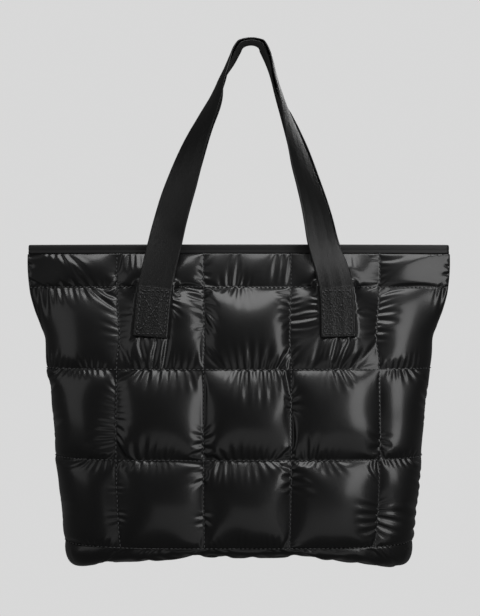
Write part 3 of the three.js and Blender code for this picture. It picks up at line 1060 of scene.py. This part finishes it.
    def build(self, finish: "Finish") -> bpy.types.Object:
        """Lays the sheet out, swells it, lines it and dresses it.

        Args:
            finish: the nylon.

        Returns:
            The panel's object.
        """
        shares, drops = self.lines()
        quilt = self.quilting
        order = shares if self.facing is Facing.FRONT else shares[::-1]
        points = self.neutral(shares, drops)
        normal = normals_of(points)
        row_seams = [self.shell.tape_height + CLEARANCE, *(s * self.shell.drop for s in quilt.rows)]
        swell = swell_between(row_seams, drops)[:, None] * swell_between(quilt.columns, order)
        topmost = np.where(drops < row_seams[1], quilt.top_row_swell, 1)[:, None]
        flank = smoothstep(0, quilt.flank_share, np.minimum(order, 1 - order))
        fullness = topmost * (quilt.flank_swell + (1 - quilt.flank_swell) * flank)
        outer = points + normal * (quilt.puff_out * swell * fullness)[..., None]
        presses = self.pressed(points)
        lift = self.start_swell * quilt.puff_out * swell * fullness
        start = roughened(points, normal, lift, swell, self.seed)
        for sheet in (outer, start):
            for end, press in zip(self.ends, presses):
                depth = self.facing.value * (end.depth_at(-points[..., 2]) - self.sewn_sink)
                sheet[..., 1] += (depth - sheet[..., 1]) * press
        settled = outer
        held = self.seams_held(shares, drops) | (np.max(presses, axis=0) > self.held_press)
        settled = self.simulated(points, start, held, drops, row_seams)
        settled = self.capped(settled, outer, topmost)
        width = self.shell.half_width * 2
        uv = np.stack(np.meshgrid(shares * width, -drops), -1)
        name = f"{self.facing.name.lower()}_quilted_panel"
        piece = link(grid_bmesh(self.shell.to_frame(settled), uv), name)
        apply_modifier(piece, "SUBSURF", levels=1, render_levels=1)
        self.line(piece, points, normal, swell)
        bare = np.max(presses, axis=0) < self.bare_press
        self.seam_runs = seam_runs(settled, normal, bare, self.column_steps, self.row_steps[::-1])
        finish.dress(piece)
        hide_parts(f"{self.facing.name.lower()}_panel")
        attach(piece, "root")
        return piece


@dataclass
class QuiltedBase:
    """The padded tray between the panels' feet."""

    shell: Shell
    quilting: Quilting
    fabric: Fabric = Fabric(push=0.004 * MM)
    column_steps: int = 40
    cross_steps: int = 84
    wall_share: float = 0.72
    squareness: float = 0.75
    start_swell: float = 0.5
    spare: tuple[float, float, float] = (0.03, 0.025, 0.025)
    proud: float = 2.5 * MM
    wall: float = 3 * MM
    lining_step: int = 4
    seed: float = 31.0

    def tray(self, shares: np.ndarray, lines: np.ndarray,
             foot: float) -> tuple[np.ndarray, np.ndarray]:
        """Shapes the tray through its seams.

        Args:
            shares: shares of the cloth's width, one for each column.
            lines: places from front to back, 1 to -1, one for each row.
            foot: the level of the panels' feet below the rim.

        Returns:
            Rows of points from the rim's middle, and how near each one is to the tray's edge.
        """
        shell = self.shell
        corner = self.quilting.base_corner_share
        fine = np.linspace(0, 1, 2001)
        outline = shell.outline(foot, fine)
        half_width = outline[-1, 0]
        keep_x = (half_width - shell.corner_inset_x) / half_width
        keep_y = (shell.base_depth / 2 - shell.corner_inset_y) / (shell.base_depth / 2)
        across, cross = np.meshgrid((shares - corner) / (1 - 2 * corner) * 2 - 1, lines)
        reach = np.maximum(np.maximum(np.abs(across), np.abs(cross)), TINY)
        long_side = np.abs(cross) >= np.abs(across)
        turn = corner * np.abs(cross / reach)
        share = np.where(long_side, corner + (across / reach + 1) / 2 * (1 - 2 * corner),
                         np.where(across < 0, turn, 1 - turn))
        rim_x = np.interp(share, fine, outline[:, 0])
        rim_y = -np.sign(cross) * np.interp(share, fine, outline[:, 1])
        climb = np.clip((reach - self.wall_share) / (1 - self.wall_share), 0, 1)
        inward = np.minimum(reach / self.wall_share, 1)
        flare = np.sin(climb * np.pi / 2) ** self.squareness
        x = rim_x * (inward * keep_x + (1 - keep_x) * flare)
        y = rim_y * (inward * keep_y + (1 - keep_y) * flare)
        floor = -(shell.drop + shell.corner_droop * np.abs(x / half_width) ** 3)
        top = -foot - CLEARANCE / 2
        rise = 1 - np.maximum(np.cos(climb * np.pi / 2), 0) ** self.squareness
        return np.stack([x, y, floor + (top - floor) * rise], -1), reach

    def build(self, finish: "Finish") -> bpy.types.Object:
        """Shapes the tray, swells it, lines it and dresses it.

        Args:
            finish: the nylon.

        Returns:
            The base's object.
        """
        shell, quilt = self.shell, self.quilting
        corner = quilt.base_corner_share
        seams = [corner, *quilt.columns[1:-1], 1 - corner]
        shares = grid_lines(seams, [self.column_steps] * (len(seams) - 1))
        lines = np.linspace(1, -1, self.cross_steps + 1)
        foot = quilt.rows[-1] * shell.drop
        top = -foot - CLEARANCE / 2
        points, reach = self.tray(shares, lines, foot)
        normal = -normals_of(points)
        swell = swell_between(quilt.columns, shares) * np.sqrt(np.maximum(0, 1 - reach ** 4))
        outer = points + normal * (quilt.base_puff * swell)[..., None]
        settled = outer
        held = reach > 1 - 1e-6
        held[:, np.cumsum([self.column_steps] * (len(seams) - 1))[:-1]] = True
        lift = self.start_swell * quilt.base_puff * swell
        start = roughened(points, normal, lift, swell, self.seed)
        cut = self.fabric.cut(points, self.spare, self.seed)
        slack = np.zeros(held.shape)
        settled = self.fabric.settle(start[::-1], cut[::-1], held[::-1], slack)[::-1]
        proud = ((settled - outer) * normal).sum(-1)
        allowed = self.proud * np.tanh(proud / self.proud)
        settled = settled + normal * (allowed - proud)[..., None]
        settled[..., 2] = np.minimum(settled[..., 2], top)
        uv = np.stack(np.meshgrid(shares * shell.half_width * 2, lines * shell.base_depth / 2), -1)
        piece = link(grid_bmesh(shell.to_frame(settled), uv), "quilted_base")
        apply_modifier(piece, "SUBSURF", levels=1, render_levels=1)
        inner = points - normal * self.wall
        inner[..., 2] = np.minimum(inner[..., 2], top)
        close_with(piece, shell.to_frame(inner[::self.lining_step, ::self.lining_step])[:, ::-1])
        finish.dress(piece)
        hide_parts("base_panel")
        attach(piece, "root")
        return piece


@dataclass
class SideSeam:
    """The sewn seam that joins both panels at one side, a narrow welt between their edges."""

    side: int
    shell: Shell
    quilting: Quilting
    proud: float = 0.5 * MM
    bulge: float = 1.8 * MM
    overlap: float = 0.9 * MM
    steps: int = 160
    around: int = 14

    def build(self, finish: "Finish") -> bpy.types.Object:
        """Sweeps the welt from the tape down to the base and dresses it.

        Args:
            finish: the nylon.

        Returns:
            The seam's object.
        """
        shell = self.shell
        top, foot = shell.tape_height + CLEARANCE, self.quilting.rows[-1] * shell.drop
        angle = 2 * np.pi * np.arange(self.around) / self.around
        points = np.zeros((self.steps + 1, self.around, 3))
        uv = np.zeros((self.steps + 1, self.around, 2))
        for i, drop in enumerate(np.linspace(top, foot, self.steps + 1)):
            edge, depth = shell.outline(float(drop), np.array([1.0]))[0]
            half = max(depth - shell.seam_wall, 0) + self.overlap
            reach = edge + self.proud + self.bulge * (np.cos(angle) - 1)
            points[i] = np.stack([self.side * reach, half * np.sin(angle), angle * 0 - drop], -1)
            uv[i] = np.stack([angle * self.bulge, angle * 0 + drop], -1)
        name = "right_side_seam" if self.side > 0 else "left_side_seam"
        piece = ring_sweep(name, shell.to_frame(points), uv, closed_along=False)
        finish.dress(piece)
        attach(piece, "root")
        return piece


@dataclass
class Binding:
    """The folded tape round the mouth."""

    shell: Shell
    straight_steps: int = 240
    turn_steps: int = 14

    def path(self) -> np.ndarray:
        """Draws the tape's middle line round the mouth.

        Returns:
            Points seen from above, without the closing one.
        """
        shell = self.shell
        half = shell.tape_thickness / 2
        turn = half + CLEARANCE / 2
        end_x = shell.half_width - half - turn
        x = np.linspace(-end_x, end_x, self.straight_steps + 1)
        swell = 1 - np.abs(x / end_x) ** shell.sections[0]["flat"]
        y = turn + (shell.mouth_gap / 2 + half - turn) * swell
        angle = -np.pi / 2 + np.pi * np.arange(1, self.turn_steps) / self.turn_steps
        cap = np.stack([end_x + turn * np.cos(angle), turn * np.sin(angle)], -1)
        front, back = np.stack([x, -y], -1), np.stack([x, y], -1)[::-1]
        return np.concatenate([front, cap, back, -cap])

    def build(self, finish: "Finish") -> bpy.types.Object:
        """Sweeps the tape round the mouth and dresses it.

        Args:
            finish: the tape's finish.

        Returns:
            The tape's object.
        """
        path = self.path()
        heading = np.roll(path, -1, 0) - np.roll(path, 1, 0)
        heading /= np.linalg.norm(heading, axis=1, keepdims=True)
        half = self.shell.tape_thickness / 2
        section = [(1, -1), (1.02, -0.9), (1.0, -0.72), (0.93, -0.66), (0.99, -0.58), (1.0, -0.35),
                   (0.97, -0.16), (0.85, -0.05), (0.6, 0), (0, 0)]
        section += [(-s, h) for s, h in reversed(section[:-1])]
        section += [(-0.6, -1), (0, -1), (0.6, -1)]
        run = np.concatenate([[0], np.cumsum(np.linalg.norm(np.diff(path, axis=0), axis=1))])
        points = np.zeros((len(path), len(section), 3))
        uv = np.zeros((len(path), len(section), 2))
        for j, (outward, height) in enumerate(section):
            points[:, j, 0] = path[:, 0] + heading[:, 1] * half * outward
            points[:, j, 1] = path[:, 1] - heading[:, 0] * half * outward
            points[:, j, 2] = height * self.shell.tape_height
            uv[:, j, 0] = run
            uv[:, j, 1] = height * self.shell.tape_height
        piece = ring_sweep("mouth_binding", self.shell.to_frame(points), uv, closed_along=True)
        finish.dress(piece)
        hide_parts("top_binding")
        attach(piece, "root")
        return piece


class Wire:
    """A shader socket's output, whose arithmetic adds Math nodes."""

    def __init__(self, shader: "Shader", socket: bpy.types.NodeSocket) -> None:
        """Keeps the shader and the socket."""
        self.shader = shader
        self.socket = socket

    def math(self, operation: str, *values: "Wire | float") -> "Wire":
        """Adds one Math node to this value and others."""
        inputs = {i: value for i, value in enumerate((self, *values))}
        return self.shader.node("ShaderNodeMath", inputs, operation=operation)

    def __add__(self, other: "Wire | float") -> "Wire":
        """Adds a value."""
        return self.math("ADD", other)

    __radd__ = __add__

    def __mul__(self, other: "Wire | float") -> "Wire":
        """Multiplies by a value."""
        return self.math("MULTIPLY", other)

    __rmul__ = __mul__

    def __sub__(self, other: "Wire | float") -> "Wire":
        """Subtracts a value."""
        return self.math("SUBTRACT", other)

    def __rsub__(self, other: "Wire | float") -> "Wire":
        """Is subtracted from a number."""
        return (self * -1) + other


class Shader:
    """A material's node tree with short ways to fill it."""

    def __init__(self, name: str) -> None:
        """Makes a material with an empty tree and a Principled surface.

        Args:
            name: the material's name.
        """
        self.material = bpy.data.materials.new(name)
        self.material.use_nodes = True
        self.tree = self.material.node_tree
        self.tree.nodes.clear()
        self.surface = self.tree.nodes.new("ShaderNodeBsdfPrincipled")
        output = self.tree.nodes.new("ShaderNodeOutputMaterial")
        self.tree.links.new(self.surface.outputs["BSDF"], output.inputs["Surface"])

    def fill(self, node: bpy.types.Node, inputs: dict) -> None:
        """Sets or links a node's input sockets.

        Args:
            node: the node.
            inputs: a value or a wire for each socket.
        """
        for key, value in inputs.items():
            if isinstance(value, Wire):
                self.tree.links.new(value.socket, node.inputs[key])
            else:
                node.inputs[key].default_value = value

    def node(self, kind: str, inputs: dict | None = None, output: int | str = 0,
             **settings: object) -> Wire:
        """Adds a node.

        Args:
            kind: the node's type.
            inputs: a value or a wire for each input socket that isn't left as it is.
            output: the output that is wanted.
            settings: the node's own settings, set before its sockets.

        Returns:
            The wanted output.
        """
        made = self.tree.nodes.new(kind)
        for key, value in settings.items():
            setattr(made, key, value)
        self.fill(made, inputs or {})
        return Wire(self, made.outputs[output])

    def ramp(self, value: Wire, *stops: tuple[float, float]) -> Wire:
        """Maps a value through a ramp of greys.

        Args:
            value: what is mapped.
            stops: a place and a level for each stop.

        Returns:
            The ramp's colour.
        """
        made = self.tree.nodes.new("ShaderNodeValToRGB")
        elements = made.color_ramp.elements
        while len(elements) < len(stops):
            elements.new(0.5)
        for element, (place, level) in zip(elements, stops):
            element.position = place
            element.color = (level, level, level, 1)
        self.fill(made, {0: value})
        return Wire(self, made.outputs[0])

    def mix(self, factor: Wire, one: Wire | tuple, other: Wire | tuple) -> Wire:
        """Goes from one colour to another with a factor."""
        inputs = {0: factor, 6: one, 7: other}
        return self.node("ShaderNodeMix", inputs, output=2, data_type="RGBA")

    def noise(self, vector: Wire, scale: float, detail: float = 2, rough: float = 0.5,
              distortion: float = 0) -> Wire:
        """Adds a noise texture.

        Args:
            vector: the place that it reads.
            scale: how many features fit in a metre.
            detail: how many finer layers it has.
            rough: how strong the finer layers are.
            distortion: how far it is swirled.

        Returns:
            A value about 0.5.
        """
        inputs = {"Vector": vector, "Scale": scale, "Detail": detail, "Roughness": rough,
                  "Distortion": distortion}
        return self.node("ShaderNodeTexNoise", inputs)

    def bump(self, height: Wire, strength: float, distance: float) -> Wire:
        """A bumped normal from a height."""
        inputs = {"Height": height, "Strength": strength, "Distance": distance}
        return self.node("ShaderNodeBump", inputs)


class Finish:
    """A finish that is made once and given to pieces."""

    def __init__(self, name: str, paint: Callable[[Shader], None]) -> None:
        """Makes the material.

        Args:
            name: the material's name.
            paint: what fills its shader.
        """
        shader = Shader(name)
        paint(shader)
        self.material = shader.material

    def dress(self, piece: bpy.types.Object) -> None:
        """Gives a piece this finish."""
        piece.data.materials.clear()
        piece.data.materials.append(self.material)


@dataclass(frozen=True)
class GlossyNylon:
    """Black nylon with a wet look, finely crinkled."""

    color: tuple[float, float, float] = (0.002, 0.002, 0.0023)
    roughness: float = 0.42
    unevenness: float = 0.12
    specular: float = 0.4
    coat: float = 0.85
    coat_roughness: float = 0.2
    crinkle_scale: float = 260
    cloud_scale: float = 35
    crinkle_bump: float = 0.25
    crinkle_height: float = 0.4 * MM

    def paint(self, shader: Shader) -> None:
        """Fills the shader.

        Args:
            shader: the finish's shader.
        """
        place = shader.node("ShaderNodeTexCoord", output="Object")
        crinkle = shader.noise(place, self.crinkle_scale, 4, 0.55, 0.6)
        cloud = shader.noise(place, self.cloud_scale)
        shader.fill(shader.surface, {
            "Base Color": (*self.color, 1),
            "Roughness": (cloud - 0.5) * self.unevenness + self.roughness,
            "Specular IOR Level": self.specular,
            "Coat Weight": self.coat,
            "Coat Roughness": self.coat_roughness,
            "Normal": shader.bump(crinkle, self.crinkle_bump, self.crinkle_height),
        })


@dataclass(frozen=True)
class MatteWebbing:
    """Black polyester webbing with a fine weave, grainier where it is sewn down, where the raised
    grain also has painted glints: lighter specks.
    """

    color: tuple[float, float, float] = (0.0015, 0.0015, 0.0015)
    worn: tuple[float, float, float] = (0.006, 0.006, 0.006)
    # Painted highlight: the lighter colour of the specks on the raised grain of the sewn ends,
    # standing in for the light that the grain catches.
    painted_glint_color: tuple[float, float, float] = (0.014, 0.014, 0.014)
    thread: float = 1.3 * MM
    sewn_length: float = 56 * MM
    roughness: float = 0.38
    specular: float = 0.6
    grain_scale: float = 700
    pebble_scale: float = 650
    pebble_height: float = 2.6
    bump: float = 0.35
    bump_height: float = 0.35 * MM

    def paint(self, shader: Shader) -> None:
        """Fills the shader.

        Args:
            shader: the finish's shader.
        """
        uv = shader.node("ShaderNodeTexCoord", output="UV")
        across = shader.node("ShaderNodeSeparateXYZ", {"Vector": uv}, output=0)
        run = shader.node("ShaderNodeSeparateXYZ", {"Vector": uv}, output=1)
        turn = 2 * math.pi / self.thread
        weft = (run * turn + (across * (turn / 2)).math("SINE") * 1.2).math("SINE")
        warp = (across * turn).math("SINE")
        weave = weft * 0.6 + warp * 0.4
        grain = shader.noise(uv, self.grain_scale, 3, 0.6)
        sewn = shader.ramp(run * (1 / self.sewn_length), (0.97, 1.0), (1.0, 0.0))
        pebble = shader.node("ShaderNodeTexVoronoi", {"Vector": uv, "Scale": self.pebble_scale})
        height = weave * 0.5 + grain * 1.2 + pebble * sewn * self.pebble_height
        # Painted glints: lighter specks where the sewn ends' grain is raised.
        painted_glints = shader.ramp(pebble, (0.5, 0.0), (0.75, 1.0)) * sewn
        tint = shader.ramp(grain, (0.35, 0.0), (0.7, 1.0))
        woven = shader.mix(tint, (*self.color, 1), (*self.worn, 1))
        color = shader.mix(painted_glints, woven, (*self.painted_glint_color, 1))
        shader.fill(shader.surface, {
            "Base Color": color,
            "Roughness": self.roughness,
            "Specular IOR Level": self.specular,
            "Normal": shader.bump(height, self.bump, self.bump_height),
        })


@dataclass(frozen=True)
class PlainFinish:
    """A plain dark finish with a fine grain."""

    color: tuple[float, float, float]
    roughness: float
    grain_scale: float
    grain_detail: float
    bump: float
    bump_height: float

    def paint(self, shader: Shader) -> None:
        """Fills the shader.

        Args:
            shader: the finish's shader.
        """
        place = shader.node("ShaderNodeTexCoord", output="Object")
        grain = shader.noise(place, self.grain_scale, self.grain_detail)
        shader.fill(shader.surface, {
            "Base Color": (*self.color, 1),
            "Roughness": self.roughness,
            "Normal": shader.bump(grain, self.bump, self.bump_height),
        })


@dataclass(frozen=True)
class ThreadWithPaintedHighlight(PlainFinish):
    """Black polyester sewing thread with a slight sheen, its colour lightened to a grey that paints
    in the highlights that the stitches catch.
    """

    # The grey colour is a painted highlight: the thread is black, and this lighter tone stands in
    # for the light that its stitches catch.
    color: tuple[float, float, float] = (0.08, 0.08, 0.082)
    roughness: float = 0.4
    grain_scale: float = 2500
    grain_detail: float = 1
    bump: float = 0.4
    bump_height: float = 0.1 * MM


@dataclass(frozen=True)
class SatinTape(PlainFinish):
    """Black folded binding tape."""

    color: tuple[float, float, float] = (0.016, 0.016, 0.0165)
    roughness: float = 0.5
    grain_scale: float = 900
    grain_detail: float = 2
    bump: float = 0.2
    bump_height: float = 0.2 * MM


@dataclass(frozen=True)
class Softbox:
    """One rectangular soft light: where it hangs, its width and height, and its power."""

    name: str
    at: tuple[float, float, float]
    size: tuple[float, float]
    watts: float


@dataclass
class Studio:
    """The camera at the photograph's angle, soft lights, and a pale floor far below."""

    camera_at: tuple[float, float, float] = (-0.01259, -1.25, -0.30075)
    lens: float = 64.65
    floor_z: float = -1.9
    backdrop: float = 0.69
    surroundings: float = 0.06
    sensor_width: float = 36
    floor_radius: float = 3
    floor_glow: float = 0.75
    floor_level: float = 0.7
    lit_point: tuple[float, float, float] = (0, 0, -0.35)
    softboxes: tuple[Softbox, ...] = (
        Softbox("top_softbox", (0.1, -0.6, 1.15), (1.6, 0.8), 13),
        Softbox("right_softbox", (1.05, -1.25, 0.05), (0.7, 1.3), 7),
        Softbox("left_softbox", (-1.5, -0.8, 0.0), (0.9, 1.3), 1.5),
        Softbox("back_softbox", (0.5, 1.5, 0.9), (1.4, 0.9), 14),
        Softbox("low_softbox", (0.3, -1.6, -1.2), (2.0, 0.8), 1.5),
    )

    def camera(self) -> None:
        """Places the level camera that looks along +Y."""
        data = bpy.data.cameras.new("camera")
        data.lens = self.lens
        data.sensor_width = self.sensor_width
        data.clip_start, data.clip_end = 0.01, 50
        camera = bpy.data.objects.new("camera", data)
        camera.location = self.camera_at
        camera.rotation_euler = (math.pi / 2, 0, 0)
        bpy.context.scene.collection.objects.link(camera)
        bpy.context.scene.camera = camera

    def hang(self, softbox: Softbox) -> None:
        """Hangs one soft light so that it faces the bag.

        Args:
            softbox: the light.
        """
        data = bpy.data.lights.new(softbox.name, "AREA")
        data.shape = "RECTANGLE"
        data.size, data.size_y = softbox.size
        data.energy = softbox.watts
        light = bpy.data.objects.new(softbox.name, data)
        light.location = softbox.at
        facing = Vector(self.lit_point) - Vector(softbox.at)
        light.rotation_euler = facing.to_track_quat("-Z", "Y").to_euler()
        bpy.context.scene.collection.objects.link(light)

    def floor(self) -> None:
        """Lays the pale floor."""
        bm = bmesh.new()
        bmesh.ops.create_circle(bm, cap_ends=True, segments=64, radius=self.floor_radius)
        bmesh.ops.translate(bm, verts=bm.verts, vec=(0, 0, self.floor_z))
        floor = link(bm, "floor")

        def paint(shader: Shader) -> None:
            """A plain pale surface.

            Args:
                shader: the floor's shader.
            """
            pale = (self.floor_level, self.floor_level, self.floor_level, 1)
            shader.fill(shader.surface, {
                "Base Color": pale,
                "Roughness": 0.9,
                "Emission Color": pale,
                "Emission Strength": self.floor_glow,
            })

        Finish("pale_floor", paint).dress(floor)
        floor.visible_diffuse = floor.visible_glossy = False

    def world(self) -> None:
        """A pale backdrop to the eye and a dimmer room in reflections."""
        world = bpy.data.worlds.new("room")
        bpy.context.scene.world = world
        world.use_nodes = True
        tree = world.node_tree
        tree.nodes.clear()
        output = tree.nodes.new("ShaderNodeOutputWorld")
        mix = tree.nodes.new("ShaderNodeMixShader")
        rays = tree.nodes.new("ShaderNodeLightPath")
        levels = []
        for level in (self.surroundings, self.backdrop):
            room = tree.nodes.new("ShaderNodeBackground")
            room.inputs["Color"].default_value = (level, level, level, 1)
            levels.append(room)
        tree.links.new(rays.outputs["Is Camera Ray"], mix.inputs[0])
        tree.links.new(levels[0].outputs[0], mix.inputs[1])
        tree.links.new(levels[1].outputs[0], mix.inputs[2])
        tree.links.new(mix.outputs[0], output.inputs["Surface"])

    def build(self) -> None:
        """Builds the whole studio."""
        self.camera()
        self.floor()
        self.world()
        for softbox in self.softboxes:
            self.hang(softbox)
        bpy.context.scene.view_settings.view_transform = "Standard"


def main() -> None:
    """Builds the bag and the studio."""
    logging.basicConfig(level=logging.INFO, format="%(name)s: %(message)s")
    Studio().build()
    shell, quilting = Shell(), Quilting()
    nylon = Finish("glossy_black_nylon", GlossyNylon().paint)
    webbing = Finish("matte_black_webbing", MatteWebbing().paint)
    tape = Finish("satin_black_tape", SatinTape().paint)
    # The thread's finish has a painted highlight: its grey colour stands in for light on black
    # stitches.
    thread = Finish("thread_with_painted_highlight", ThreadWithPaintedHighlight().paint)
    for facing in Facing:
        handle = Handle(facing, shell)
        ends = (handle.end(-1), handle.end(1))
        seed = 3.0 if facing is Facing.FRONT else 23.0
        panel = QuiltedPanel(facing, shell, quilting, ends, handle.width, seed=seed)
        side = facing.name.lower()
        for piece in (
            panel.build(nylon),
            Stitching(f"{side}_quilting_stitches").build(panel.seam_runs, thread, shell),
            handle.build(webbing),
            Stitching(f"{side}_handle_stitches", slot="webbing").build(
                handle.sewn_runs(), thread, shell),
        ):
            log.info("%s: %d faces", piece.name, len(piece.data.polygons))
    for piece in (
        QuiltedBase(shell, quilting).build(nylon),
        SideSeam(-1, shell, quilting).build(nylon),
        SideSeam(1, shell, quilting).build(nylon),
        Binding(shell).build(tape),
    ):
        log.info("%s: %d faces", piece.name, len(piece.data.polygons))


if __name__ == "__main__":
    main()
